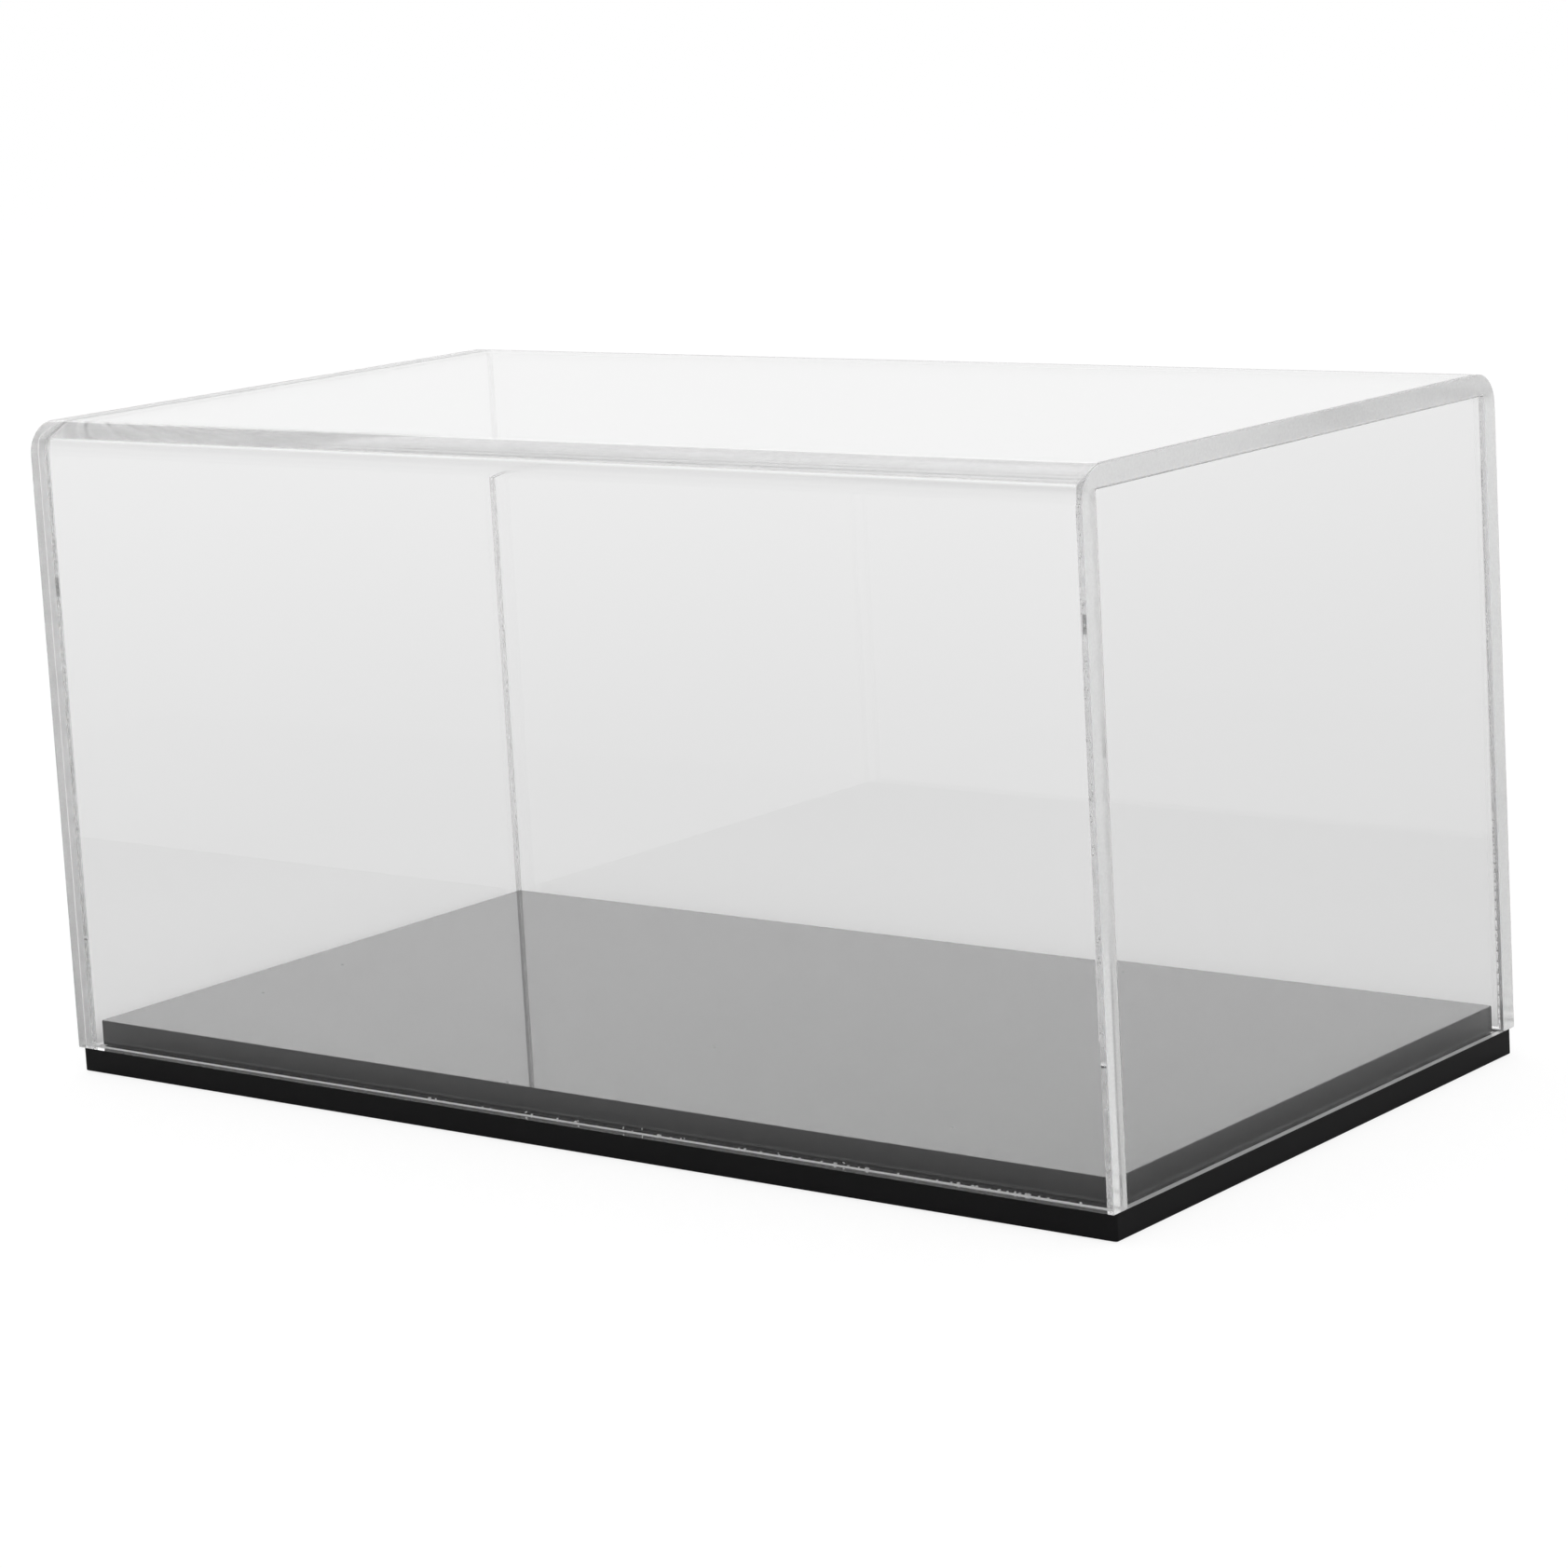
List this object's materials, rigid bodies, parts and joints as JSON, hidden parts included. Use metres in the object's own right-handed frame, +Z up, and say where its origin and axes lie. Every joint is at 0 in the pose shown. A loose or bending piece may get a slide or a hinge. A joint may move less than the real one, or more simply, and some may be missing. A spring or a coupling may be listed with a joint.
{
  "type": "figurine display case",
  "caption": "Clear box cover with rounded top edges over a stepped black base of stacked plates; the cover lifts straight off.",
  "frame": {"origin": "centre of the base plate's underside", "axes": "+X along the case to the right of a viewer who faces its front, +Z up; the front faces -Y"},
  "size_m": [0.2506, 0.1374, 0.1313],
  "materials": {
    "black_acrylic": "gloss",
    "bond_film": "matte",
    "clear_acrylic": "clear, polished",
    "cured_cement": "clear with fine bubbles"
  },
  "bodies": {
    "base": {"base_plate": "black_acrylic", "plinth_bond": "bond_film", "plinth_plate": "black_acrylic"},
    "cover": {"cover_shell": "clear_acrylic", "left_end_panel": "clear_acrylic", "right_end_panel": "clear_acrylic", "left_cement_seam": "cured_cement", "right_cement_seam": "cured_cement"}
  },
  "joints": [
    {"name": "cover_lift", "type": "slide", "parent": "base", "child": "cover", "axis": [0, 0, 1], "range_m": [0, 0.13]}
  ]
}
